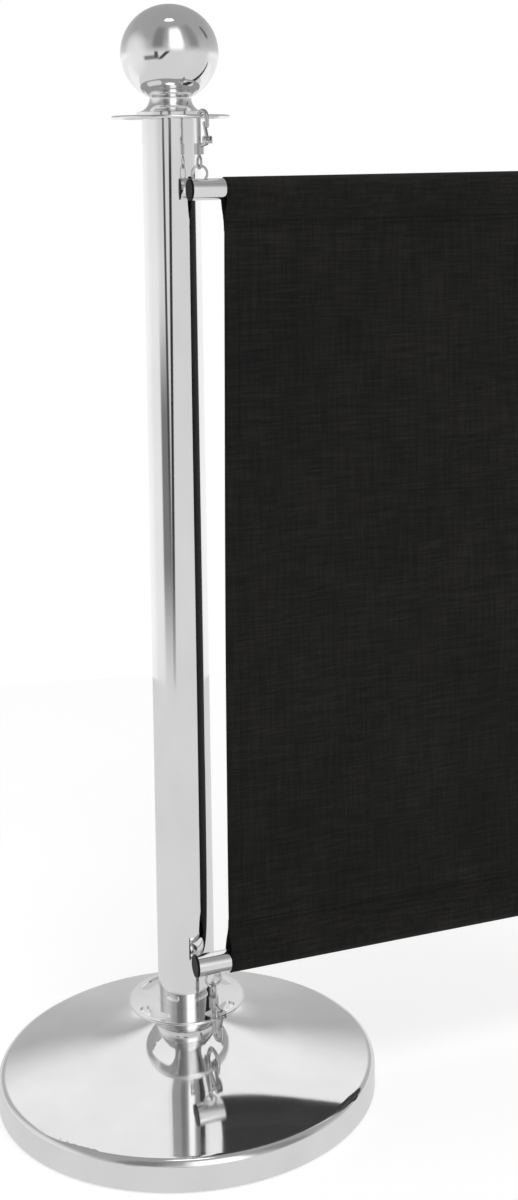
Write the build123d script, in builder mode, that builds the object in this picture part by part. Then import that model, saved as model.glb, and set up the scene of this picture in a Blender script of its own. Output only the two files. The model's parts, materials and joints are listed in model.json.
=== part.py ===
"""Cafe-barrier stanchion: a chrome post with ball finial, two slotted rings and a clipped-on canvas banner.

Millimetres. +Z is up and the origin is the centre of the base on the floor. The banner hangs along +X.
"""

import os
from math import atan2, cos, degrees, radians, sin, sqrt, tan

from build123d import *

# Stand
POST_R = 25.4
POST_WALL = 1.2
BASE_R = 170
BASE_WALL_TOP = 20
BASE_NECK_R = 29
BASE_NECK_Z = 62
COVER_WALL = 1.4
LOWER_RING_Z = 81
UPPER_RING_Z = 878
RING_R = 52
RING_T = 3
SLOT_IN_R = 36.5
SLOT_OUT_R = 47.8
SLOT_SPAN = 46
SLOT_ANGLE = -61
SLOT_COUNT = 4
BALL_R = 43
BALL_Z = 934

# Banner and its rails
RAIL_R = 9.5
RAIL_WALL = 1.2
RAIL_LENGTH = 496
UPPER_RAIL_X = 2
LOWER_RAIL_X = -5
FABRIC_WIDTH = 430
FABRIC_MARGIN = 32
FABRIC_T = 1.4
SLEEVE_H = 38.5
SLEEVE_SLACK = 1.6
SLEEVE_GAP = 0.1

# Snap hooks: along the hook, distances run from the outer end of its eye to its claw
HOOK_X = 12
HOOK_LINE_R = 44
HOOK_WIRE_R = 1.9
HOOK_BEND_R = 6.3
HOOK_BEND_AT = 44.1
EYE_R = 5.1
LINK_WIRE_R = 1.1
RAIL_LINK_R = 6.9

# Gaps
GAP = 0.3
RUNNING = 0.05
LINK_GAP = 0.1

# Worked out from the above
TOP_OF_RING = UPPER_RING_Z + RING_T / 2
POST_TOP = UPPER_RING_Z - RING_T / 2
RAIL_Y = -sqrt(HOOK_LINE_R**2 - HOOK_X**2)
HOOK_ANGLE = degrees(atan2(RAIL_Y, HOOK_X))
SLOT_MID_R = (SLOT_IN_R + SLOT_OUT_R) / 2
SLOT_W = SLOT_OUT_R - SLOT_IN_R
RIM_HALF = (RING_R - SLOT_OUT_R) / 2
RIM_MID_R = SLOT_OUT_R + RIM_HALF
RAIL_IN_R = RAIL_R - RAIL_WALL
LINK_REACH = RAIL_IN_R - LINK_WIRE_R - GAP + RAIL_LINK_R

# The upper claw sits over the ring's outer rim, and its eye carries the rail link.
CLAW_INNER_R = HOOK_BEND_R - HOOK_WIRE_R
RIM_CORNER = RIM_HALF + HOOK_LINE_R + HOOK_BEND_R - RIM_MID_R
UPPER_BEND_Z = TOP_OF_RING + GAP - sqrt(CLAW_INNER_R**2 - RIM_CORNER**2)
UPPER_EYE_Z = UPPER_BEND_Z - HOOK_BEND_AT
UPPER_LINK_Z = UPPER_EYE_Z + 2 * LINK_WIRE_R + LINK_GAP - (RAIL_LINK_R - LINK_WIRE_R)
UPPER_RAIL_Z = UPPER_LINK_Z - LINK_REACH
LOWER_RAIL_Z = 129
LOWER_LINK_Z = LOWER_RAIL_Z - LINK_REACH
LOWER_EYE_Z = LOWER_LINK_Z - (RAIL_LINK_R - LINK_WIRE_R) + 2 * LINK_WIRE_R + LINK_GAP

os.makedirs("parts", exist_ok=True)


def save(builder, name):
    """Labels a finished piece and writes it as its own STEP file."""
    builder.part.label = name
    export_step(builder.part, f"parts/{name}.step")


# --- Base -----------------------------------------------------------------------------------------------
COVER_Z = 1.2
RIM_ROUND = 6.5
CONE_SLOPE = radians(10.5)
CONE_TOP_R = 90
CONE_FOOT_R = BASE_R - RIM_ROUND
CONE_FOOT = (CONE_FOOT_R, BASE_WALL_TOP + RIM_ROUND / tan(radians(45) - CONE_SLOPE / 2))
CONE_TOP = (CONE_TOP_R, CONE_FOOT[1] + (CONE_FOOT_R - CONE_TOP_R) * tan(CONE_SLOPE))
FLOOR_T = 4

with BuildPart() as base_cover:
    with BuildSketch(Plane.XZ):
        with BuildLine():
            neck = (BASE_NECK_R, BASE_NECK_Z)
            Line((0, COVER_Z), (BASE_R, COVER_Z))
            Line((BASE_R, COVER_Z), (BASE_R, BASE_WALL_TOP))
            TangentArc((BASE_R, BASE_WALL_TOP), CONE_FOOT, tangent=(0, 1))
            Line(CONE_FOOT, CONE_TOP)
            TangentArc(CONE_TOP, neck, tangent=(-cos(CONE_SLOPE), sin(CONE_SLOPE)))
            Line(neck, (0, BASE_NECK_Z))
            Line((0, BASE_NECK_Z), (0, COVER_Z))
        make_face()
    revolve(axis=Axis.Z)
    ends = base_cover.faces().filter_by(Axis.Z)
    offset(amount=-COVER_WALL, openings=[ends.sort_by(Axis.Z)[0], ends.sort_by(Axis.Z)[-1]])
save(base_cover, "base_cover")

WEIGHT_R = 163
WEIGHT_RIM_Z = 11
WEIGHT_HUB_R = 46
WEIGHT_HUB_Z = 20
WEIGHT_TOP_R = 32
WEIGHT_TOP_Z = 32
BOLT_R = 6
BOLT_HOLE_R = 6.5
RECESS_R = 18
RECESS_Z = 16

with BuildPart() as base_weight:
    with BuildSketch(Plane.XZ):
        Polygon(
            (BOLT_HOLE_R, RECESS_Z),
            (RECESS_R, RECESS_Z),
            (RECESS_R, FLOOR_T),
            (WEIGHT_R, FLOOR_T),
            (WEIGHT_R, WEIGHT_RIM_Z),
            (WEIGHT_HUB_R, WEIGHT_HUB_Z),
            (WEIGHT_TOP_R, WEIGHT_TOP_Z),
            (BOLT_HOLE_R, WEIGHT_TOP_Z),
            align=None,
        )
    revolve(axis=Axis.Z)
save(base_weight, "base_weight")

FLOOR_PAD_R = 161
EDGE_CHAMFER = 1

with BuildPart() as base_floor_pad:
    with BuildSketch():
        Circle(FLOOR_PAD_R)
    extrude(amount=FLOOR_T)
    chamfer(base_floor_pad.faces().sort_by(Axis.Z)[0].edges(), length=EDGE_CHAMFER)
save(base_floor_pad, "base_floor_pad")

WASHER_R = 15
WASHER_T = 2.5
BOLT_HEAD_T = 7.5
BOLT_HEAD_R = 10.5
BOLT_TOP_Z = 54

with BuildPart() as base_washer:
    with BuildSketch(Plane.XY.offset(RECESS_Z - WASHER_T)):
        Circle(WASHER_R)
        Circle(BOLT_HOLE_R, mode=Mode.SUBTRACT)
    extrude(amount=WASHER_T)
save(base_washer, "base_washer")

with BuildPart() as base_bolt:
    with BuildSketch(Plane.XY.offset(RECESS_Z - WASHER_T - BOLT_HEAD_T)):
        RegularPolygon(BOLT_HEAD_R, 6)
    extrude(amount=BOLT_HEAD_T)
    with BuildSketch(Plane.XY.offset(RECESS_Z - WASHER_T)):
        Circle(BOLT_R)
    extrude(amount=BOLT_TOP_Z - RECESS_Z + WASHER_T)
    chamfer(base_bolt.faces().sort_by(Axis.Z)[-1].edges(), length=EDGE_CHAMFER)
save(base_bolt, "base_bolt")

# --- Post -----------------------------------------------------------------------------------------------
with BuildPart() as post_tube:
    with BuildSketch(Plane.XY.offset(WEIGHT_TOP_Z)):
        Circle(POST_R)
        Circle(POST_R - POST_WALL, mode=Mode.SUBTRACT)
    extrude(amount=POST_TOP - WEIGHT_TOP_Z)
save(post_tube, "post_tube")

PLUG_R = POST_R - POST_WALL - RUNNING
BOTTOM_PLUG_H = 26
TOP_PLUG_H = 16
STUD_R = 5

for plug_name, plug_z, plug_h, bore_r in (
    ("post_bottom_plug", WEIGHT_TOP_Z, BOTTOM_PLUG_H, BOLT_R),
    ("post_top_plug", POST_TOP - TOP_PLUG_H, TOP_PLUG_H, STUD_R),
):
    with BuildPart() as post_plug:
        with BuildSketch(Plane.XY.offset(plug_z)):
            Circle(PLUG_R)
            Circle(bore_r + RUNNING, mode=Mode.SUBTRACT)
        extrude(amount=plug_h)
    save(post_plug, plug_name)

# --- Slotted rings --------------------------------------------------------------------------------------
SLOT_CAP = degrees(SLOT_W / 2 / SLOT_MID_R)
SLOT_ARC = SLOT_SPAN - 2 * SLOT_CAP
RIM_FILLET = 1.2
BOWL_R = 36.3
BOWL_FOOT_R = 28
BOWL_MID = (34, 69)


def kidney_slots(ring_z):
    """The kidney slots as a sketch on the underside of a ring's plate."""
    with BuildSketch(Plane.XY.offset(ring_z - RING_T / 2)) as slots:
        for k in range(SLOT_COUNT):
            start = SLOT_ANGLE - SLOT_ARC / 2 + k * 360 / SLOT_COUNT
            SlotArc(CenterArc((0, 0), SLOT_MID_R, start, SLOT_ARC, mode=Mode.PRIVATE), SLOT_W)
    return slots.sketch


with BuildPart() as lower_ring:
    with BuildSketch(Plane.XZ):
        with BuildLine():
            bore_r = POST_R + RUNNING
            under = LOWER_RING_Z - RING_T / 2
            over = LOWER_RING_Z + RING_T / 2
            Line((bore_r, over), (bore_r, BASE_NECK_Z))
            Line((bore_r, BASE_NECK_Z), (BOWL_FOOT_R, BASE_NECK_Z))
            ThreePointArc((BOWL_FOOT_R, BASE_NECK_Z), BOWL_MID, (BOWL_R, under))
            Line((BOWL_R, under), (RING_R - RIM_FILLET, under))
            ThreePointArc(
                (RING_R - RIM_FILLET, under),
                (RING_R, LOWER_RING_Z),
                (RING_R - RIM_FILLET, over),
            )
            Line((RING_R - RIM_FILLET, over), (bore_r, over))
        make_face()
    revolve(axis=Axis.Z)
    extrude(kidney_slots(LOWER_RING_Z), amount=RING_T, mode=Mode.SUBTRACT)
save(lower_ring, "lower_ring")

NECK_FOOT_R = 30
NECK_FOOT_Z = 882.5
NECK_TOP_R = 18.5
NECK_TOP_Z = 895
NECK_MID = (21.5, 886.5)

with BuildPart() as upper_ring:
    with BuildSketch(Plane.XZ):
        with BuildLine():
            bore_r = STUD_R + RUNNING
            under = UPPER_RING_Z - RING_T / 2
            over = UPPER_RING_Z + RING_T / 2
            Line((bore_r, NECK_TOP_Z), (bore_r, under))
            Line((bore_r, under), (RING_R - RIM_FILLET, under))
            ThreePointArc(
                (RING_R - RIM_FILLET, under),
                (RING_R, UPPER_RING_Z),
                (RING_R - RIM_FILLET, over),
            )
            Line((RING_R - RIM_FILLET, over), (NECK_FOOT_R, over))
            Line((NECK_FOOT_R, over), (NECK_FOOT_R, NECK_FOOT_Z))
            ThreePointArc((NECK_FOOT_R, NECK_FOOT_Z), NECK_MID, (NECK_TOP_R, NECK_TOP_Z))
            Line((NECK_TOP_R, NECK_TOP_Z), (bore_r, NECK_TOP_Z))
        make_face()
    revolve(axis=Axis.Z)
    extrude(kidney_slots(UPPER_RING_Z), amount=RING_T, mode=Mode.SUBTRACT)
save(upper_ring, "upper_ring")

# --- Finial ---------------------------------------------------------------------------------------------
BALL_WALL = 1.2
BALL_FOOT_Z = NECK_TOP_Z + GAP
INSERT_R = 15.4
INSERT_PLATE_T = 4
INSERT_BOSS_R = 9
INSERT_TOP_Z = 918
INSERT_BORE_Z = 913
STUD_TOP_Z = 912
STUD_FOOT_Z = 862.5
STUD_CHAMFER = 0.8

with BuildPart() as finial_stud:
    with BuildSketch(Plane.XY.offset(STUD_FOOT_Z)):
        Circle(STUD_R)
    extrude(amount=STUD_TOP_Z - STUD_FOOT_Z)
    chamfer(finial_stud.edges(), length=STUD_CHAMFER)
save(finial_stud, "finial_stud")

with BuildPart() as finial_ball:
    with BuildSketch(Plane.XZ):
        with Locations((0, BALL_Z)):
            Circle(BALL_R)
            Circle(BALL_R - BALL_WALL, mode=Mode.SUBTRACT)
        with Locations((-BALL_R / 2, BALL_Z)):
            Rectangle(BALL_R, 2 * BALL_R + 2, mode=Mode.SUBTRACT)
        with Locations((0, BALL_FOOT_Z)):
            Rectangle(2 * BALL_R, 2 * BALL_R, align=(Align.CENTER, Align.MAX), mode=Mode.SUBTRACT)
    revolve(axis=Axis.Z)
save(finial_ball, "finial_ball")

with BuildPart() as finial_insert:
    with BuildSketch(Plane.XZ):
        Polygon(
            (STUD_R + RUNNING, BALL_FOOT_Z),
            (INSERT_R, BALL_FOOT_Z),
            (INSERT_R, BALL_FOOT_Z + INSERT_PLATE_T),
            (INSERT_BOSS_R, BALL_FOOT_Z + INSERT_PLATE_T),
            (INSERT_BOSS_R, INSERT_TOP_Z),
            (0, INSERT_TOP_Z),
            (0, INSERT_BORE_Z),
            (STUD_R + RUNNING, INSERT_BORE_Z),
            align=None,
        )
    revolve(axis=Axis.Z)
save(finial_insert, "finial_insert")

# --- Rails ----------------------------------------------------------------------------------------------
END_CAP_T = 2
SPIGOT_L = 8
SPIGOT_WALL = 2
UPPER_LINKS_X = (HOOK_X, 2 * UPPER_RAIL_X + RAIL_LENGTH - HOOK_X)
LOWER_LINKS_X = (HOOK_X, 2 * LOWER_RAIL_X + RAIL_LENGTH - HOOK_X)
RAILS = (
    ("upper_rail", UPPER_RAIL_X, UPPER_RAIL_Z, UPPER_LINKS_X, UPPER_LINK_Z),
    ("lower_rail", LOWER_RAIL_X, LOWER_RAIL_Z, LOWER_LINKS_X, LOWER_LINK_Z),
)

for rail_name, rail_x, rail_z, links_x, link_z in RAILS:
    with BuildPart() as rail:
        with BuildSketch(Plane(origin=(rail_x + END_CAP_T, RAIL_Y, rail_z), z_dir=(1, 0, 0))):
            Circle(RAIL_R)
            Circle(RAIL_IN_R, mode=Mode.SUBTRACT)
        extrude(amount=RAIL_LENGTH - 2 * END_CAP_T)
        with Locations(*[Plane((x, RAIL_Y, link_z), z_dir=(0, 1, 0)) for x in links_x]):
            Torus(RAIL_LINK_R, LINK_WIRE_R + GAP, mode=Mode.SUBTRACT)
    save(rail, rail_name)

with BuildPart() as rail_end_plugs:
    for _, rail_x, rail_z, links_x, link_z in RAILS:
        for end_x, inward in ((rail_x, 1), (rail_x + RAIL_LENGTH, -1)):
            with BuildSketch(Plane(origin=(end_x, RAIL_Y, rail_z), z_dir=(inward, 0, 0))):
                Circle(RAIL_R)
            extrude(amount=END_CAP_T)
            spigot_x = end_x + inward * END_CAP_T
            with BuildSketch(Plane(origin=(spigot_x, RAIL_Y, rail_z), z_dir=(inward, 0, 0))):
                Circle(RAIL_IN_R - RUNNING)
                Circle(RAIL_IN_R - SPIGOT_WALL, mode=Mode.SUBTRACT)
            extrude(amount=SPIGOT_L)
        # The spigots are notched where a rail link passes.
        with Locations(*[Plane((x, RAIL_Y, link_z), z_dir=(0, 1, 0)) for x in links_x]):
            Torus(RAIL_LINK_R, LINK_WIRE_R + GAP, mode=Mode.SUBTRACT)
save(rail_end_plugs, "rail_end_plugs")

for link_name, side in (("near_rail_links", 0), ("far_rail_links", 1)):
    with BuildPart() as rail_links:
        for _, _, _, links_x, link_z in RAILS:
            with Locations(Plane((links_x[side], RAIL_Y, link_z), z_dir=(0, 1, 0))):
                Torus(RAIL_LINK_R, LINK_WIRE_R)
    save(rail_links, link_name)

# --- Banner ---------------------------------------------------------------------------------------------
# A sleeve closes round each rail and narrows to the seam, where the single cloth panel begins.
SLEEVE_R = RAIL_R + SLEEVE_SLACK
SLEEVE_BORE_R = RAIL_R + SLEEVE_GAP
CLOTH_TOP = UPPER_RAIL_Z + SLEEVE_R
CLOTH_FOOT = LOWER_RAIL_Z - SLEEVE_R

with BuildPart() as banner_cloth:
    with BuildSketch(Plane(origin=(LOWER_RAIL_X, RAIL_Y, 0), x_dir=(0, 1, 0), z_dir=(1, 0, 0))):
        with Locations((0, (CLOTH_TOP + CLOTH_FOOT) / 2)):
            Rectangle(FABRIC_T, CLOTH_TOP - CLOTH_FOOT - SLEEVE_R)
        for rail_z, seam_z in (
            (UPPER_RAIL_Z, CLOTH_TOP - SLEEVE_H),
            (LOWER_RAIL_Z, CLOTH_FOOT + SLEEVE_H),
        ):
            # Each flank runs from the seam along a tangent of the sleeve's round.
            drop = abs(seam_z - rail_z)
            turn = atan2(FABRIC_T / 2, drop)
            reach = sqrt(drop**2 + (FABRIC_T / 2) ** 2)
            lean = atan2(SLEEVE_R, sqrt(reach**2 - SLEEVE_R**2)) + turn
            toward = 1 if seam_z < rail_z else -1
            touch_y = SLEEVE_R * cos(lean)
            touch_z = rail_z - toward * SLEEVE_R * sin(lean)
            Polygon(
                (touch_y, touch_z),
                (FABRIC_T / 2, seam_z),
                (-FABRIC_T / 2, seam_z),
                (-touch_y, touch_z),
                (0, rail_z),
                align=None,
            )
            with Locations((0, rail_z)):
                Circle(SLEEVE_R)
        with Locations((0, UPPER_RAIL_Z), (0, LOWER_RAIL_Z)):
            Circle(SLEEVE_BORE_R, mode=Mode.SUBTRACT)
    extrude(amount=RAIL_LENGTH + UPPER_RAIL_X - LOWER_RAIL_X)
    # The side hems slant a little, because the lower rail sits nearer the post.
    slant = (UPPER_RAIL_X - LOWER_RAIL_X) / (UPPER_RAIL_Z - LOWER_RAIL_Z)
    for edge_x, keep in ((FABRIC_MARGIN, 1), (FABRIC_MARGIN + FABRIC_WIDTH, -1)):
        edge = (UPPER_RAIL_X + edge_x, RAIL_Y, UPPER_RAIL_Z)
        split(bisect_by=Plane(origin=edge, z_dir=(keep, 0, -keep * slant)), keep=Keep.TOP)
save(banner_cloth, "banner_cloth")

# --- Snap hooks -----------------------------------------------------------------------------------------
RADIAL = Vector(cos(radians(HOOK_ANGLE)), sin(radians(HOOK_ANGLE)), 0)
BARREL_R = 4.2
BARREL_FOOT = 13
BARREL_TOP = 22.5
CAVITY_R = 3.1
CAVITY_FOOT = 16
CAVITY_TOP = 19.2
SHANK_R = 1.6
HEAD_R = 2.6
HEAD_T = 1.5
CLAW_U = 2 * HOOK_BEND_R
CLAW_TIP = 37.5
ARM_FOOT = (2.7, 20.5)
ARM_HEAD = (11.6, 22.5)
SINK = 1
PIVOT_AT = 26.5
LUG_R = 2.5
LUG_HALF = 3.6
LUG_DROP = 4.2
FORK_HALF = 2.5
GATE_HALF = 1.1
GATE_THICK = 1.2
GATE_TOP_U = 8.3
GATE_TOP = 40
PIN_R = 0.8
PIN_HEAD_R = 1.4
PIN_HEAD_T = 0.6
GATE_EYE_R = 2
SPRING_R = 1.3
SPRING_WIRE_R = 0.25
SPRING_TURNS = 2

HOOKS = (
    ("upper", Vector(HOOK_X, RAIL_Y, UPPER_EYE_Z), 1),
    ("lower", Vector(HOOK_X, RAIL_Y, LOWER_EYE_Z), -1),
)

for hook_name, eye_end, way in HOOKS:
    along = Vector(0, 0, way)
    across = RADIAL.cross(along)
    flat = Plane(origin=eye_end, x_dir=RADIAL, z_dir=across)
    swivel_axis = Axis(eye_end, along)
    pivot = flat.from_local_coords((CLAW_U, PIVOT_AT, 0))

    # Swivel eye: a ring for the rail link, and a shank that ends in a head inside the hook's barrel.
    with BuildPart() as swivel_eye:
        with Locations(Plane(eye_end + along * (EYE_R + LINK_WIRE_R), z_dir=(1, 0, 0))):
            Torus(EYE_R, LINK_WIRE_R)
        with BuildSketch(flat):
            eye_top = 2 * EYE_R + LINK_WIRE_R
            head_foot = CAVITY_FOOT + GAP
            Polygon(
                (0, eye_top),
                (SHANK_R, eye_top),
                (SHANK_R, head_foot),
                (HEAD_R, head_foot),
                (HEAD_R, head_foot + HEAD_T),
                (0, head_foot + HEAD_T),
                align=None,
            )
        revolve(axis=swivel_axis)
    save(swivel_eye, f"{hook_name}_swivel_eye")

    # Hook body: barrel, round claw, and an arm out to the forked lug that carries the gate.
    with BuildPart() as hook_body:
        with BuildSketch(flat):
            Polygon(
                (SHANK_R + RUNNING, BARREL_FOOT),
                (BARREL_R, BARREL_FOOT),
                (BARREL_R, BARREL_TOP),
                (0, BARREL_TOP),
                (0, CAVITY_TOP),
                (CAVITY_R, CAVITY_TOP),
                (CAVITY_R, CAVITY_FOOT),
                (SHANK_R + RUNNING, CAVITY_FOOT),
                align=None,
            )
        revolve(axis=swivel_axis)
        with BuildLine(flat) as claw_path:
            Line((0, BARREL_TOP - SINK), (0, HOOK_BEND_AT))
            ThreePointArc(
                (0, HOOK_BEND_AT),
                (HOOK_BEND_R, HOOK_BEND_AT + HOOK_BEND_R),
                (CLAW_U, HOOK_BEND_AT),
            )
            Line((CLAW_U, HOOK_BEND_AT), (CLAW_U, CLAW_TIP))
        with BuildSketch(Plane(origin=claw_path.line @ 0, z_dir=claw_path.line % 0)):
            Circle(HOOK_WIRE_R)
        sweep(path=claw_path.line)
        with Locations(flat.from_local_coords((CLAW_U, CLAW_TIP, 0))):
            Sphere(HOOK_WIRE_R)
        with BuildLine(flat) as arm_path:
            Line(ARM_FOOT, ARM_HEAD)
        with BuildSketch(Plane(origin=arm_path.line @ 0, z_dir=arm_path.line % 0)):
            Circle(HOOK_WIRE_R)
        sweep(path=arm_path.line)
        with BuildSketch(Plane(origin=pivot - across * LUG_HALF, x_dir=RADIAL, z_dir=across)):
            Circle(LUG_R)
            Rectangle(2 * LUG_R, LUG_DROP, align=(Align.CENTER, Align.MAX))
        extrude(amount=2 * LUG_HALF)
        # The fork's slot and the pin's hole
        with BuildSketch(Plane(origin=pivot - across * FORK_HALF, x_dir=RADIAL, z_dir=across)):
            with Locations((0, LUG_R)):
                Rectangle(2 * LUG_R + 1, 4 * LUG_R)
        extrude(amount=2 * FORK_HALF, mode=Mode.SUBTRACT)
        with BuildSketch(Plane(origin=pivot - across * LUG_HALF, x_dir=RADIAL, z_dir=across)):
            Circle(PIN_R)
        extrude(amount=2 * LUG_HALF, mode=Mode.SUBTRACT)
    save(hook_body, f"{hook_name}_hook_body")

    with BuildPart() as gate:
        with BuildSketch(Plane(origin=pivot - across * GATE_HALF, x_dir=RADIAL, z_dir=across)):
            top = Vector(GATE_TOP_U - CLAW_U, GATE_TOP - PIVOT_AT)
            with BuildLine():
                gate_line = Line((0, 0), (top.X, top.Y))
            trace(line_width=2 * GATE_THICK)
            Circle(GATE_EYE_R)
            with Locations((top.X, top.Y)):
                Circle(GATE_THICK)
            Circle(PIN_R + RUNNING, mode=Mode.SUBTRACT)
        extrude(amount=2 * GATE_HALF)
    save(gate, f"{hook_name}_gate")

    with BuildPart() as gate_pin:
        with BuildSketch(Plane(origin=pivot - across * LUG_HALF, x_dir=RADIAL, z_dir=across)):
            Circle(PIN_R)
        extrude(amount=2 * LUG_HALF)
        for side in (-1, 1):
            head_foot = pivot + across * side * LUG_HALF
            with BuildSketch(Plane(origin=head_foot, x_dir=RADIAL, z_dir=across * side)):
                Circle(PIN_HEAD_R)
            extrude(amount=PIN_HEAD_T)
    save(gate_pin, f"{hook_name}_gate_pin")

    # The spring's coils sit on the pin, on both sides of the gate.
    with BuildPart() as gate_spring:
        for side in (-1, 1):
            for turn in range(SPRING_TURNS):
                out = GATE_HALF + SPRING_WIRE_R + RUNNING + turn * (2 * SPRING_WIRE_R + RUNNING)
                with Locations(Plane(pivot + across * side * out, z_dir=across)):
                    Torus(SPRING_R, SPRING_WIRE_R)
    save(gate_spring, f"{hook_name}_gate_spring")
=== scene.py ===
"""Looks for the barrier post with a hanging canvas banner. Metres, in the row frame."""

import json
from math import atan2, cos, dist, exp, pi, sin, sqrt

import bpy
import numpy as np
from mathutils import Matrix, Vector, noise


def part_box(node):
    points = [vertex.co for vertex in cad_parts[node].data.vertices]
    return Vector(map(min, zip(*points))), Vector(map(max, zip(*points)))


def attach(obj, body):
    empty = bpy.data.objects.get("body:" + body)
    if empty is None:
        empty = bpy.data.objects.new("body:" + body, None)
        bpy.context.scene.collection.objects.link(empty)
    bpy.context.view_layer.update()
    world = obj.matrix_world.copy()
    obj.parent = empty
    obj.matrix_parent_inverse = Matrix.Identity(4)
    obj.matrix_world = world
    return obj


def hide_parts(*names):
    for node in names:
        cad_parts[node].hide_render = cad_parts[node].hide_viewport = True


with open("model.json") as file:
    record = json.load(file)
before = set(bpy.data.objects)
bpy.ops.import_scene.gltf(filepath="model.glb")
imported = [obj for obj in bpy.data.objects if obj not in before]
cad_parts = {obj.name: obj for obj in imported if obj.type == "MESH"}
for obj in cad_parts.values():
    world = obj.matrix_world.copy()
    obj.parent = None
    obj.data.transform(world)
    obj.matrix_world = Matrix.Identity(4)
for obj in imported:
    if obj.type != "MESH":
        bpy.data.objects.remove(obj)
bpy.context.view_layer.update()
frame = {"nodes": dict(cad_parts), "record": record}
NODES = frame["nodes"]
scene = bpy.context.scene

# --- Camera ---------------------------------------------------------------------------------------------
IMAGE_W, IMAGE_H = 518, 1200
CAMERA_TURN = 0.2989          # from the banner's normal towards the post's side, radians
CAMERA_DISTANCE = 1.5567
CAMERA_HEIGHT = 0.8525
CAMERA_PAN = 0.0815
CAMERA_TILT = -0.0645
CAMERA_ROLL = -0.0130
FOCAL = 1.4656                # in image heights
CENTRE_X, CENTRE_Y = 0.6112, 0.2149   # principal point, as shares of the image
SENSOR_MM = 36.0
CLIP_START, CLIP_END = 0.05, 60

TO_CAMERA = Vector((-sin(CAMERA_TURN), -cos(CAMERA_TURN), 0))
TO_RIGHT = Vector((cos(CAMERA_TURN), -sin(CAMERA_TURN), 0))
UP = Vector((0, 0, 1))


def make_camera():
    """A camera beside the post, looking slightly down, with the shift that the framing needs."""
    ahead = (
        TO_RIGHT * sin(CAMERA_PAN) * cos(CAMERA_TILT)
        - TO_CAMERA * cos(CAMERA_PAN) * cos(CAMERA_TILT)
        + UP * sin(CAMERA_TILT)
    )
    level = TO_RIGHT * cos(CAMERA_PAN) + TO_CAMERA * sin(CAMERA_PAN)
    above = level.cross(ahead)
    right = level * cos(CAMERA_ROLL) + above * sin(CAMERA_ROLL)
    above = right.cross(ahead)
    data = bpy.data.cameras.new("camera")
    data.sensor_width = SENSOR_MM
    data.sensor_fit = "AUTO"
    data.lens = FOCAL * SENSOR_MM
    data.shift_x = (0.5 - CENTRE_X) * IMAGE_W / IMAGE_H
    data.shift_y = CENTRE_Y - 0.5
    data.clip_start, data.clip_end = CLIP_START, CLIP_END
    camera = bpy.data.objects.new("camera", data)
    place = TO_CAMERA * CAMERA_DISTANCE + UP * CAMERA_HEIGHT
    turn = Matrix((right, above, -ahead)).transposed().to_4x4()
    camera.matrix_world = Matrix.Translation(place) @ turn
    scene.collection.objects.link(camera)
    scene.camera = camera


make_camera()


# --- Node helpers ---------------------------------------------------------------------------------------
class Nodes:
    """A short way to write a node tree."""

    def __init__(self, tree):
        self.tree = tree
        tree.nodes.clear()

    def add(self, kind, inputs=None, **props):
        """A node with its inputs, each given as a value or as a socket to link."""
        node = self.tree.nodes.new(kind)
        for key, value in props.items():
            setattr(node, key, value)
        for key, value in (inputs or {}).items():
            if isinstance(value, bpy.types.NodeSocket):
                self.tree.links.new(value, node.inputs[key])
            else:
                node.inputs[key].default_value = value
        return node

    def math(self, operation, a, b=0.0):
        return self.add("ShaderNodeMath", {0: a, 1: b}, operation=operation).outputs[0]

    def span(self, value, low, high, to_low=0.0, to_high=1.0, smooth=False):
        """Maps value from low..high to to_low..to_high, clamped."""
        kind = "SMOOTHSTEP" if smooth else "LINEAR"
        inputs = {"Value": value, "From Min": low, "From Max": high, "To Min": to_low, "To Max": to_high}
        return self.add("ShaderNodeMapRange", inputs, interpolation_type=kind).outputs[0]

    def ramp(self, value, stops):
        """Colour by value; each stop is (place, grey or colour)."""
        node = self.add("ShaderNodeValToRGB", {0: value})
        elements = node.color_ramp.elements
        while len(elements) < len(stops):
            elements.new(0.5)
        for element, (place, colour) in zip(elements, stops):
            element.position = place
            element.color = grey(colour) if isinstance(colour, float) else (*colour, 1)
        return node.outputs[0]

    def mix(self, factor, a, b):
        """Colour between a and b, each a socket, a grey or a colour."""
        node = self.add("ShaderNodeMix", {0: factor}, data_type="RGBA")
        for socket, value in ((node.inputs[6], a), (node.inputs[7], b)):
            if isinstance(value, bpy.types.NodeSocket):
                self.tree.links.new(value, socket)
            else:
                socket.default_value = grey(value) if isinstance(value, float) else (*value, 1)
        return node.outputs[2]

    def along(self, vector, axis):
        """How far a vector socket reaches along a fixed axis."""
        node = self.add("ShaderNodeVectorMath", {0: vector, 1: axis}, operation="DOT_PRODUCT")
        return node.outputs["Value"]

    def noise(self, scale, detail=2.0, stretch=(1, 1, 1), rough=0.5):
        """Noise in the piece's own coordinates, with a stretch along each axis."""
        place = self.add("ShaderNodeTexCoord").outputs["Object"]
        moved = self.add("ShaderNodeMapping", {"Vector": place, "Scale": stretch}).outputs[0]
        inputs = {"Vector": moved, "Scale": scale, "Detail": detail, "Roughness": rough}
        return self.add("ShaderNodeTexNoise", inputs).outputs[0]


def grey(value):
    return (value, value, value, 1)


def material(name):
    made = bpy.data.materials.new(name)
    made.use_nodes = True
    return made, Nodes(made.node_tree)


def finish_material(nodes, inputs, bump=None, distance=0.0002, strength=0.5):
    """Adds the surface shader, with an optional bump, and the output."""
    if bump is not None:
        bumped = nodes.add("ShaderNodeBump", {"Height": bump, "Distance": distance, "Strength": strength})
        inputs["Normal"] = bumped.outputs[0]
    shader = nodes.add("ShaderNodeBsdfPrincipled", inputs)
    nodes.add("ShaderNodeOutputMaterial", {0: shader.outputs[0]})


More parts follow.
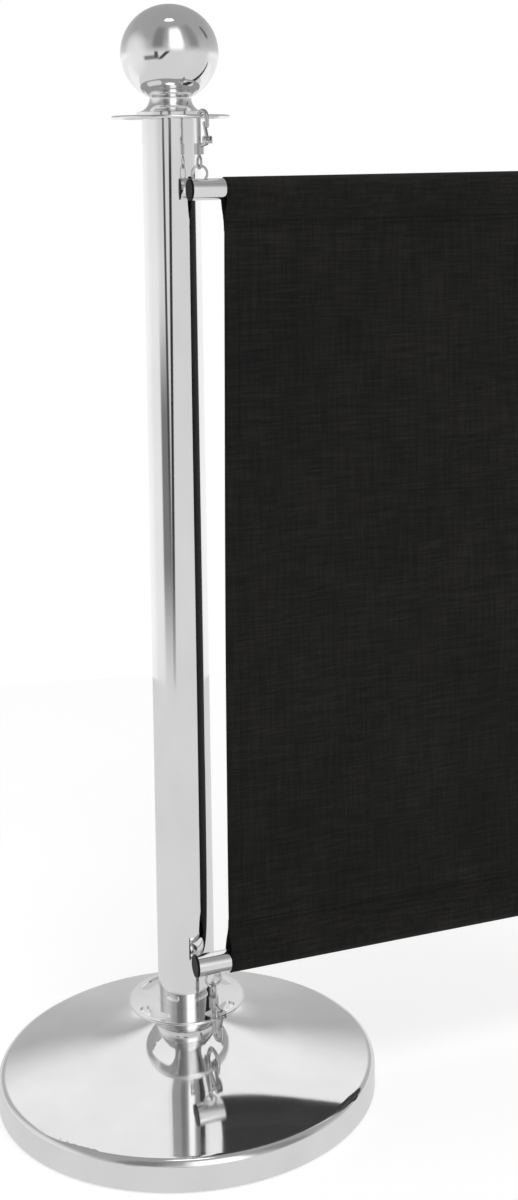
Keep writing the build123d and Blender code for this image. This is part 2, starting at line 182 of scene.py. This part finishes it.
# --- Materials ------------------------------------------------------------------------------------------
def polished_metal(name, light, dark, rough_low, rough_high, grain, bump_strength=0.08, clean=1.0):
    """Mirror-polished metal: faint polishing lines, smudges and a little uneven gloss; dust dulls it."""
    made, nodes = material(name)
    smudge = nodes.noise(18, 4, (1, 1, 0.6))
    lines = nodes.noise(260, 2, grain)
    colour = nodes.mix(nodes.span(smudge, 0.35, 0.7), dark, light)
    hazy = nodes.span(smudge, 0.3, 0.75, rough_low, rough_high)
    rough = nodes.math("ADD", hazy, nodes.math("MULTIPLY", lines, 0.03))
    inputs = {"Base Color": colour, "Metallic": clean, "Roughness": rough}
    finish_material(nodes, inputs, lines, 0.00005, bump_strength)
    return made


def plain_steel():
    """Turned or bent steel without a plating."""
    made, nodes = material("plain_steel")
    turned = nodes.noise(500, 3, (0.2, 0.2, 6))
    inputs = {
        "Base Color": nodes.mix(turned, (0.42, 0.42, 0.43), (0.62, 0.62, 0.63)),
        "Metallic": 1.0,
        "Roughness": nodes.span(turned, 0.2, 0.8, 0.25, 0.42),
    }
    finish_material(nodes, inputs, turned, 0.0001, 0.3)
    return made


def cast_iron():
    """Sand-cast iron, painted black."""
    made, nodes = material("cast_iron")
    sand = nodes.noise(420, 5)
    inputs = {"Base Color": nodes.mix(sand, 0.02, 0.06), "Roughness": nodes.span(sand, 0.2, 0.8, 0.6, 0.85)}
    finish_material(nodes, inputs, sand, 0.0006, 0.7)
    return made


def soft_black(name, scale, low, high, rough_low, rough_high, bump, specular=0.2):
    """Moulded black plastic or rubber with a fine grain."""
    made, nodes = material(name)
    grain = nodes.noise(scale, 3)
    colour = nodes.mix(nodes.noise(40, 3), low, high)
    gloss = nodes.span(grain, 0.3, 0.7, rough_low, rough_high)
    inputs = {"Base Color": colour, "Roughness": gloss, "Specular IOR Level": specular}
    finish_material(nodes, inputs, grain, bump, 0.4)
    return made


WEAVE_PITCH = 0.0011      # from one yarn to the next


def canvas():
    """Plain-weave black canvas: warp and weft yarns, slubs, uneven runs and a dusty sheen."""
    made, nodes = material("canvas")
    place = nodes.add("ShaderNodeTexCoord").outputs["Object"]
    parts = nodes.add("ShaderNodeSeparateXYZ", {0: place})
    across = nodes.math("MULTIPLY", parts.outputs[0], 2 * pi / WEAVE_PITCH)
    along = nodes.math("MULTIPLY", parts.outputs[2], 2 * pi / WEAVE_PITCH)
    half_across, half_along = nodes.math("MULTIPLY", across, 0.5), nodes.math("MULTIPLY", along, 0.5)
    warp = nodes.math("ABSOLUTE", nodes.math("SINE", half_across))
    weft = nodes.math("ABSOLUTE", nodes.math("SINE", half_along))
    check = nodes.math("MULTIPLY", nodes.math("COSINE", half_across), nodes.math("COSINE", half_along))
    over = nodes.math("GREATER_THAN", check, 0.0)
    yarn = nodes.add("ShaderNodeMix", {0: over, 2: warp, 3: weft}, data_type="FLOAT").outputs[0]
    slub = nodes.noise(900, 2, (1, 1, 0.12))
    weft_runs = nodes.noise(520, 3, (0.07, 1, 1))
    warp_runs = nodes.noise(430, 2, (1, 1, 0.06))
    cloud = nodes.noise(9, 5, (1, 1, 0.7), 0.6)
    height = nodes.math("ADD", yarn, nodes.math("MULTIPLY", nodes.math("ADD", slub, weft_runs), 0.6))
    runs = nodes.math("ADD", nodes.math("MULTIPLY", weft_runs, 1.2), nodes.math("MULTIPLY", warp_runs, 0.7))
    uneven = nodes.math("ADD", runs, nodes.math("MULTIPLY", cloud, 0.8))
    tone = nodes.span(nodes.math("ADD", nodes.math("MULTIPLY", yarn, 0.25), uneven), 0.85, 2.1)
    shades = ((0.0, (0.0055, 0.0055, 0.0058)), (0.5, (0.0138, 0.0134, 0.0124)), (1.0, (0.030, 0.0288, 0.026)))
    colour = nodes.ramp(tone, shades)
    inputs = {
        "Base Color": colour,
        "Roughness": nodes.span(slub, 0.3, 0.7, 0.82, 0.95),
        "Specular IOR Level": 0.16,
        "Sheen Weight": 0.025,
        "Sheen Roughness": 0.5,
        "Sheen Tint": (0.75, 0.75, 0.8, 1),
    }
    finish_material(nodes, inputs, height, 0.0003, 0.35)
    return made


def thread():
    """Black sewing thread with a fine twist."""
    made, nodes = material("thread")
    twist = nodes.noise(2500, 2, (1, 1, 1))
    inputs = {"Base Color": nodes.mix(twist, 0.004, 0.009), "Roughness": 0.8, "Specular IOR Level": 0.15}
    finish_material(nodes, inputs, twist, 0.0001, 0.4)
    return made


BRIGHT = 0.93             # reflectance of clean polished chrome
MATERIALS = {
    "polished_steel": polished_metal("polished_steel", BRIGHT, 0.86, 0.03, 0.08, (1, 1, 30), clean=0.955),
    "polished_tube": polished_metal("polished_tube", BRIGHT, 0.86, 0.025, 0.07, (1, 1, 0.02)),
    "polished_rail": polished_metal("polished_rail", 0.96, 0.9, 0.08, 0.14, (0.03, 1, 1)),
    "polished_casting": polished_metal("polished_casting", BRIGHT, 0.84, 0.03, 0.09, (1, 1, 1)),
    "plated_wire": polished_metal("plated_wire", 0.74, 0.58, 0.06, 0.14, (1, 1, 1)),
    "plated_zinc": polished_metal("plated_zinc", 0.66, 0.46, 0.08, 0.18, (1, 1, 1), 0.2),
    "plain_steel": plain_steel(),
    "cast_iron": cast_iron(),
    "floor_rubber": soft_black("floor_rubber", 500, 0.01, 0.025, 0.7, 0.9, 0.0004),
    "black_plastic": soft_black("black_plastic", 1500, 0.005, 0.01, 0.3, 0.45, 0.0001, 0.07),
    "black_canvas": canvas(),
    "thread": thread(),
}


def dress_nodes():
    """Gives each CAD node its material, by the slot the record names."""
    slots = {s["node"]: s["material_slot"] for s in frame["record"]["subparts"]}
    for name, node in NODES.items():
        node.data.materials.clear()
        node.data.materials.append(MATERIALS[slots[name]])


dress_nodes()


# --- Banner ---------------------------------------------------------------------------------------------
CLOTH_T = 0.0009
CLOTH_CLEAR = 0.0003          # between the sleeve and its rail
LAYER_STEP = 1.1 * CLOTH_T    # between the middles of two layers that lie on each other
SLEEVE_H = 0.0385             # from the sleeve's outer fold to its seam
SLEEVE_SLACK = 0.0012
SLEEVE_STEPS, WRAP_STEPS = 9, 26
SEAM_TAIL = 0.008             # the back layer's end, past the seam
SEAM_ROWS = (0.0012, 0.0026, 0.004, 0.0055, 0.0075)   # rows of points beside each seam
SEAM_DEPTH, SEAM_REACH = 0.0009, 0.0032
PANEL_ROWS, COLUMNS = 96, 96
WAVE = 0.0026
PUCKER, PUCKER_REACH = 0.00035, 0.02
FAR_WAIST, NEAR_BOW = 0.0035, 0.0012
SIDE_HEM = 0.014
HEM_TUCK = 0.009              # how far the side hem runs on past each seam
HEM_INSET = 0.0004            # from the side edge to the hem's fold
HEM_ROWS, HEM_STEPS = 90, 7


def rail_centre(name):
    """The y and z of a rail's axis, and its radius."""
    low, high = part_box(name)
    return (low.y + high.y) / 2, (low.z + high.z) / 2, (high.z - low.z) / 2


RAIL_Y, UPPER_Z, RAIL_R = rail_centre("upper_rail")
_, LOWER_Z, _ = rail_centre("lower_rail")
WRAP_R = RAIL_R + CLOTH_CLEAR + CLOTH_T / 2
UPPER_SEAM = UPPER_Z + WRAP_R - SLEEVE_H
LOWER_SEAM = LOWER_Z - WRAP_R + SLEEVE_H
FRONT_Y, BACK_Y = -CLOTH_T / 2, LAYER_STEP / 2   # the two layers at a seam, from the rails' axes


def sleeve_path(rail_z, seam_z):
    """Cross-section of one sleeve as (y, z), from the back layer's end over the rail to the seam in front."""
    up = 1 if rail_z > seam_z else -1
    drop = abs(rail_z - seam_z)
    lean = atan2(WRAP_R - BACK_Y, sqrt(drop**2 - WRAP_R**2))
    touch_y, touch_z = WRAP_R * cos(lean), rail_z - up * WRAP_R * sin(lean)
    points = [(BACK_Y, seam_z - up * SEAM_TAIL * share) for share in (1, 0.66, 0.33)]
    for step in range(SLEEVE_STEPS):
        t = step / SLEEVE_STEPS
        slack = SLEEVE_SLACK * sin(pi * t)
        points.append((BACK_Y + (touch_y - BACK_Y) * t + slack, seam_z + (touch_z - seam_z) * t))
    for step in range(WRAP_STEPS + 1):
        angle = -lean + (pi + 2 * lean) * step / WRAP_STEPS
        points.append((WRAP_R * cos(angle), rail_z + up * WRAP_R * sin(angle)))
    for step in range(1, SLEEVE_STEPS + 1):
        t = step / SLEEVE_STEPS
        slack = SLEEVE_SLACK * sin(pi * t)
        points.append((-touch_y + (FRONT_Y + touch_y) * t - slack, touch_z + (seam_z - touch_z) * t))
    return points


def cloth_section():
    """The whole cross-section of the cloth as (y, z): upper sleeve, panel, lower sleeve."""
    upper = sleeve_path(UPPER_Z, UPPER_SEAM)
    lower = sleeve_path(LOWER_Z, LOWER_SEAM)[::-1]
    top, foot = UPPER_SEAM - SEAM_ROWS[-1], LOWER_SEAM + SEAM_ROWS[-1]
    heights = [UPPER_SEAM - off for off in SEAM_ROWS]
    heights += [top + (foot - top) * k / PANEL_ROWS for k in range(1, PANEL_ROWS)]
    heights += [LOWER_SEAM + off for off in SEAM_ROWS[::-1]]
    return upper + [(FRONT_Y, z) for z in heights] + lower


def cloth_corners():
    """The x of the cloth's near and far edge, at the upper and at the lower rail, from the CAD solid."""
    points = np.array([v.co for v in NODES["banner_cloth"].data.vertices])
    upper = points[points[:, 2] > UPPER_Z, 0]
    lower = points[points[:, 2] < LOWER_Z, 0]
    return (upper.min(), upper.max()), (lower.min(), lower.max())


EDGE_TOP, EDGE_FOOT = cloth_corners()


def side_edge(z, near):
    """The x of a side edge: between the rails the far one pulls in and the near one bows out a little."""
    t = min(max((UPPER_Z - z) / (UPPER_Z - LOWER_Z), 0), 1)
    end = 0 if near else 1
    straight = EDGE_TOP[end] + (EDGE_FOOT[end] - EDGE_TOP[end]) * t
    if near:
        return straight - NEAR_BOW * sin(pi * t)
    return straight - FAR_WAIST * sin(pi * t) ** 0.8


def billow(x, z):
    """How far the panel stands out of its plane: long soft folds that die away at the seams."""
    if not LOWER_SEAM < z < UPPER_SEAM:
        return 0.0
    t = (UPPER_SEAM - z) / (UPPER_SEAM - LOWER_SEAM)
    fade = sin(pi * t) ** 0.6
    long_fold = sin(13 * x + 1.4 * sin(5 * z)) * 0.55
    drift = noise.noise(Vector((x * 6, 0.3, z * 3.2)))
    return WAVE * fade * (long_fold + drift)


def seam_distance(z):
    return min(abs(z - UPPER_SEAM), abs(z - LOWER_SEAM))


def seam_groove(z):
    """How far both layers are drawn back along the two seams."""
    return SEAM_DEPTH * exp(-((seam_distance(z) / SEAM_REACH) ** 2))


def pucker(x, z):
    """Small waves along the two seams, where the stitching draws the cloth in."""
    fade = max(1 - seam_distance(z) / PUCKER_REACH, 0)
    return PUCKER * fade * sin(x * 520 + 3 * noise.noise(Vector((x * 40, 0, z * 9))))


def mesh_object(name, verts, faces):
    """A smooth-shaded mesh object in the scene."""
    mesh = bpy.data.meshes.new(name)
    mesh.from_pydata([tuple(v) for v in verts], [], faces)
    mesh.update()
    mesh.polygons.foreach_set("use_smooth", [True] * len(mesh.polygons))
    made = bpy.data.objects.new(name, mesh)
    scene.collection.objects.link(made)
    return made


def grid_faces(rows, columns):
    """The quads of a grid of points that is written row by row."""
    return [
        (r * columns + c, r * columns + c + 1, (r + 1) * columns + c + 1, (r + 1) * columns + c)
        for r in range(rows - 1)
        for c in range(columns - 1)
    ]


def thicken(made):
    """Gives a sheet the cloth's thickness, half to each side."""
    modifier = made.modifiers.new("thickness", "SOLIDIFY")
    modifier.thickness, modifier.offset = CLOTH_T, 0.0
    bpy.context.view_layer.update()
    result = bpy.data.meshes.new_from_object(made.evaluated_get(bpy.context.evaluated_depsgraph_get()))
    made.modifiers.clear()
    made.data = result


def dress(made, name):
    """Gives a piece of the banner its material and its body."""
    made.data.materials.clear()
    made.data.materials.append(MATERIALS[name])
    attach(made, "banner")


def make_cloth():
    """The canvas with both sleeves as one sheet, and the length of its cross-section."""
    section = cloth_section()
    verts = []
    for y, z in section:
        left, right = side_edge(z, True), side_edge(z, False)
        for c in range(COLUMNS):
            x = left + (right - left) * c / (COLUMNS - 1)
            out = billow(x, z) + seam_groove(z) + pucker(x, z) * (1 if y <= 0 else 0.5)
            verts.append((x, RAIL_Y + y + out, z))
    cloth = mesh_object("cloth", verts, grid_faces(len(section), COLUMNS))
    thicken(cloth)
    dress(cloth, "black_canvas")
    return cloth, sum(dist(a, b) for a, b in zip(section[:-1], section[1:]))


cloth, cloth_length = make_cloth()
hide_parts("banner_cloth")


def make_side_hem(name, near):
    """The folded strip behind one side edge of the panel, between the seams."""
    inward = 1 if near else -1
    verts = []
    for row in range(HEM_ROWS):
        share = row / (HEM_ROWS - 1)
        z = UPPER_SEAM - HEM_TUCK + (LOWER_SEAM - UPPER_SEAM + 2 * HEM_TUCK) * share
        for step in range(HEM_STEPS):
            x = side_edge(z, near) + inward * (HEM_INSET + (SIDE_HEM + 0.001) * step / (HEM_STEPS - 1))
            verts.append((x, RAIL_Y + FRONT_Y + LAYER_STEP + billow(x, z), z))
    hem = mesh_object(name, verts, grid_faces(HEM_ROWS, HEM_STEPS))
    thicken(hem)
    dress(hem, "black_canvas")
    return hem


hems = [make_side_hem("hem_near", True), make_side_hem("hem_far", False)]

STITCH_LENGTH = 0.0026
STITCH_PITCH = 0.0034
STITCH_R = 0.00032
STITCH_SIDES = 6
STITCH_SHOULDER = 0.55            # where a stitch has its full thickness, as a share of half its length
SEAM_STITCHES = (0.0008, 0.0052)  # the two rows, from the seam towards the panel's middle
SEAM_END_GAP = 0.002
HEM_END_GAP = 0.007
ACROSS, UPWARD = Vector((1, 0, 0)), Vector((0, 0, 1))
FRONT, BACK = Vector((0, -1, 0)), Vector((0, 1, 0))


def add_stitch(verts, faces, centre, way, normal):
    """One stitch: a short spindle of thread lying on the cloth, along way."""
    cross = way.cross(normal)
    start = len(verts)
    half = way * STITCH_LENGTH / 2
    verts.append(centre - half - normal * STITCH_R)
    for along in (-STITCH_SHOULDER, STITCH_SHOULDER):
        for k in range(STITCH_SIDES):
            angle = 2 * pi * k / STITCH_SIDES
            ring = (normal * cos(angle) + cross * sin(angle)) * STITCH_R
            verts.append(centre + half * along + ring)
    verts.append(centre + half - normal * STITCH_R)
    end = len(verts) - 1
    for k in range(STITCH_SIDES):
        a, b = start + 1 + k, start + 1 + (k + 1) % STITCH_SIDES
        c, d = a + STITCH_SIDES, b + STITCH_SIDES
        faces.extend([(start, b, a), (a, b, d, c), (c, d, end)])


def spaced(low, high):
    """The middles of the stitches that fit from low to high."""
    count = int((high - low) / STITCH_PITCH)
    return [low + (k + 0.5) * (high - low) / count for k in range(count)]


def make_stitches():
    """Two rows along each sleeve's seam and one down each side hem, on both faces of the cloth."""
    verts, faces = [], []
    front_y = RAIL_Y + FRONT_Y - CLOTH_T / 2
    seam_back_y = RAIL_Y + BACK_Y + CLOTH_T / 2
    hem_back_y = RAIL_Y + FRONT_Y + LAYER_STEP + CLOTH_T / 2
    for seam_z, inward in ((UPPER_SEAM, -1), (LOWER_SEAM, 1)):
        for row in SEAM_STITCHES:
            z = seam_z + inward * row
            for x in spaced(side_edge(z, True) + SEAM_END_GAP, side_edge(z, False) - SEAM_END_GAP):
                out, wave = billow(x, z) + seam_groove(z), pucker(x, z)
                add_stitch(verts, faces, Vector((x, front_y + out + wave, z)), ACROSS, FRONT)
                add_stitch(verts, faces, Vector((x, seam_back_y + out + wave / 2, z)), ACROSS, BACK)
    for near in (True, False):
        inward = 1 if near else -1
        for z in spaced(LOWER_SEAM + HEM_END_GAP, UPPER_SEAM - HEM_END_GAP)[::-1]:
            x = side_edge(z, near) + inward * (SIDE_HEM - 0.001)
            for y, normal in ((front_y, FRONT), (hem_back_y, BACK)):
                add_stitch(verts, faces, Vector((x, y + billow(x, z), z)), UPWARD, normal)
    made = mesh_object("stitching", verts, faces)
    dress(made, "thread")
    return made


stitching = make_stitches()

# --- Studio ---------------------------------------------------------------------------------------------
FLOOR_R = 1.25
FLOOR_SIDES = 128
FLOOR_LIFT = 0.58             # evens the floor out to the white of the background
FLOOR_IN_MIRROR = 0.71


def make_floor():
    """A round pale floor; the metal mirrors it a little darker than the camera sees it."""
    angles = [2 * pi * k / FLOOR_SIDES for k in range(FLOOR_SIDES)]
    verts = [(FLOOR_R * cos(angle), FLOOR_R * sin(angle), 0) for angle in angles]
    floor = mesh_object("floor", verts, [tuple(range(FLOOR_SIDES))])
    made, nodes = material("floor")
    seen = nodes.add("ShaderNodeLightPath").outputs["Is Camera Ray"]
    paint = nodes.add("ShaderNodeBsdfDiffuse", {"Color": nodes.mix(nodes.noise(3, 2), 0.62, 0.66)})
    lift = nodes.add("ShaderNodeEmission", {"Color": (1, 1, 1, 1), "Strength": FLOOR_LIFT})
    lit = nodes.add("ShaderNodeAddShader", {0: paint.outputs[0], 1: lift.outputs[0]})
    mirrored = nodes.add("ShaderNodeEmission", {"Color": grey(FLOOR_IN_MIRROR), "Strength": 1.0})
    both = nodes.add("ShaderNodeMixShader", {0: seen, 1: mirrored.outputs[0], 2: lit.outputs[0]})
    nodes.add("ShaderNodeOutputMaterial", {0: both.outputs[0]})
    floor.data.materials.append(made)


make_floor()


# What the mirror finish shows from around, as patches of one tone. Bearing and height are in degrees, from
# straight behind the camera and from the horizon, each as (centre, half width, soft edge); lean tips a patch.
PATCHES = (
    dict(bearing=(-44, 14, 9), height=(-11, 2, 4.5), tone=0.19),             # low dark bar
    dict(bearing=(-31.5, 3.4, 2), height=(-5, 4, 6), tone=0.07),             # left dark post
    dict(bearing=(-5, 4.2, 2), height=(-7, 6, 6), tone=0.035, lean=1.15),    # right dark post, tipped
    dict(bearing=(17, 9, 15), height=(31, 14, 20), tone=1.45),               # window
    dict(bearing=(-28, 6, 16), height=(34, 16, 16), tone=0.2),               # shade left of the window
    dict(bearing=(62, 5, 16), height=(34, 16, 16), tone=0.24),               # shade right of it
    dict(bearing=(2, 34, 10), height=(80, 2.5, 2.5), tone=2.2),              # lamp overhead
    dict(bearing=(110, 3, 3), height=(30, 6, 6), tone=0.12),                 # short dark bar on the right
)
WHITE_BEHIND, WHITE_LEFT = 0.98, 0.9
SKY = ((0.0, FLOOR_IN_MIRROR), (0.49, FLOOR_IN_MIRROR), (0.56, 0.50), (0.68, 0.36), (1.0, 0.33))


def make_world():
    """White for the camera; for the metal, grey overhead, white behind and to the left, and the patches."""
    world = bpy.data.worlds.new("studio")
    world.use_nodes = True
    scene.world = world
    nodes = Nodes(world.node_tree)
    way = nodes.add("ShaderNodeTexCoord").outputs["Generated"]
    ahead, right, up = (nodes.along(way, axis) for axis in (TO_CAMERA, TO_RIGHT, UP))
    bearing = nodes.math("MULTIPLY", nodes.math("ARCTAN2", right, ahead), 180 / pi)
    height = nodes.math("MULTIPLY", nodes.math("ARCSINE", up), 180 / pi)

    def band(value, centre, half, soft):
        off = nodes.math("ABSOLUTE", nodes.math("SUBTRACT", value, centre))
        return nodes.span(off, half, half + soft, 1.0, 0.0, smooth=True)

    colour = nodes.ramp(nodes.span(height, -90, 90), SKY)
    behind_camera_plane = nodes.span(nodes.math("ABSOLUTE", bearing), 92, 118, smooth=True)
    below_horizon = nodes.span(height, 5, -1, smooth=True)
    colour = nodes.mix(nodes.math("MULTIPLY", behind_camera_plane, below_horizon), colour, WHITE_BEHIND)
    far_left = nodes.span(right, -0.72, -1.0, 0.0, 0.8, smooth=True)
    not_overhead = nodes.span(height, 60, 20, smooth=True)
    colour = nodes.mix(nodes.math("MULTIPLY", far_left, not_overhead), colour, WHITE_LEFT)
    for patch in PATCHES:
        leaning = nodes.math("SUBTRACT", bearing, nodes.math("MULTIPLY", height, patch.get("lean", 0.0)))
        share = nodes.math("MULTIPLY", band(leaning, *patch["bearing"]), band(height, *patch["height"]))
        colour = nodes.mix(share, colour, patch["tone"])
    seen = nodes.add("ShaderNodeLightPath").outputs["Is Camera Ray"]
    background = nodes.add("ShaderNodeBackground", {"Color": nodes.mix(seen, colour, 1.0), "Strength": 1.0})
    nodes.add("ShaderNodeOutputWorld", {0: background.outputs[0]})


make_world()


def make_card(name, corners, tone, fade=None):
    """A flat card that only the mirror finish can see; fade, if given, makes its opacity from place."""
    card = mesh_object(name, corners, [(0, 1, 2, 3)])
    made, nodes = material(name)
    shown = nodes.add("ShaderNodeEmission", {"Color": grey(tone), "Strength": 1.0}).outputs[0]
    if fade:
        clear = nodes.add("ShaderNodeBsdfTransparent").outputs[0]
        shown = nodes.add("ShaderNodeMixShader", {0: fade(nodes), 1: clear, 2: shown}).outputs[0]
    nodes.add("ShaderNodeOutputMaterial", {0: shown})
    card.data.materials.append(made)
    card.visible_camera = False
    card.visible_diffuse = False
    card.visible_shadow = False


def behind(side, back, height):
    """A point given from the camera's side: to the right, away from the camera, up."""
    return TO_RIGHT * side - TO_CAMERA * back + UP * height


CEILING_Z = 0.86
CEILING_SIDE = 1.4
CEILING_BACK = (0.12, 2.4)
CEILING_TONE = 0.9
FADE_SIDE, FADE_BACK = 0.7, 1.1      # where the fading starts


def ceiling_fade(nodes):
    """The ceiling card fades out towards its far end and both sides."""
    place = nodes.add("ShaderNodeTexCoord").outputs["Object"]
    side, back = nodes.along(place, TO_RIGHT), nodes.along(place, -TO_CAMERA)
    across = nodes.span(nodes.math("ABSOLUTE", side), FADE_SIDE, CEILING_SIDE, 1.0, 0.0, smooth=True)
    return nodes.math("MULTIPLY", across, nodes.span(back, FADE_BACK, CEILING_BACK[1], 1.0, 0.0, smooth=True))


make_card(
    "ceiling_card",
    [
        behind(-CEILING_SIDE, CEILING_BACK[0], CEILING_Z),
        behind(CEILING_SIDE, CEILING_BACK[0], CEILING_Z),
        behind(CEILING_SIDE, CEILING_BACK[1], CEILING_Z),
        behind(-CEILING_SIDE, CEILING_BACK[1], CEILING_Z),
    ],
    CEILING_TONE,
    ceiling_fade,
)
BEYOND_FROM, BEYOND_TO = 0.47, 1.4   # the x that the rest of the banner takes up
BEYOND_TONE = 0.012
make_card(
    "banner_beyond",
    [
        (BEYOND_FROM, RAIL_Y, LOWER_Z),
        (BEYOND_TO, RAIL_Y, LOWER_Z),
        (BEYOND_TO, RAIL_Y, UPPER_Z),
        (BEYOND_FROM, RAIL_Y, UPPER_Z),
    ],
    BEYOND_TONE,
)


def make_light(name, place, target, size, energy):
    """A soft box that lights the scene but isn't mirrored in it."""
    data = bpy.data.lights.new(name, "AREA")
    data.shape = "RECTANGLE"
    data.size, data.size_y = size
    data.energy = energy
    light = bpy.data.objects.new(name, data)
    light.location = place
    aim = Vector(target) - Vector(place)
    light.rotation_euler = aim.to_track_quat("-Z", "Y").to_euler()
    light.visible_glossy = False
    scene.collection.objects.link(light)


make_light("overhead", place=(0.2, -0.4, 3.2), target=(0.1, 0, 0.4), size=(2.4, 2.4), energy=34)

scene.view_settings.view_transform = "Standard"
scene.view_settings.look = "None"
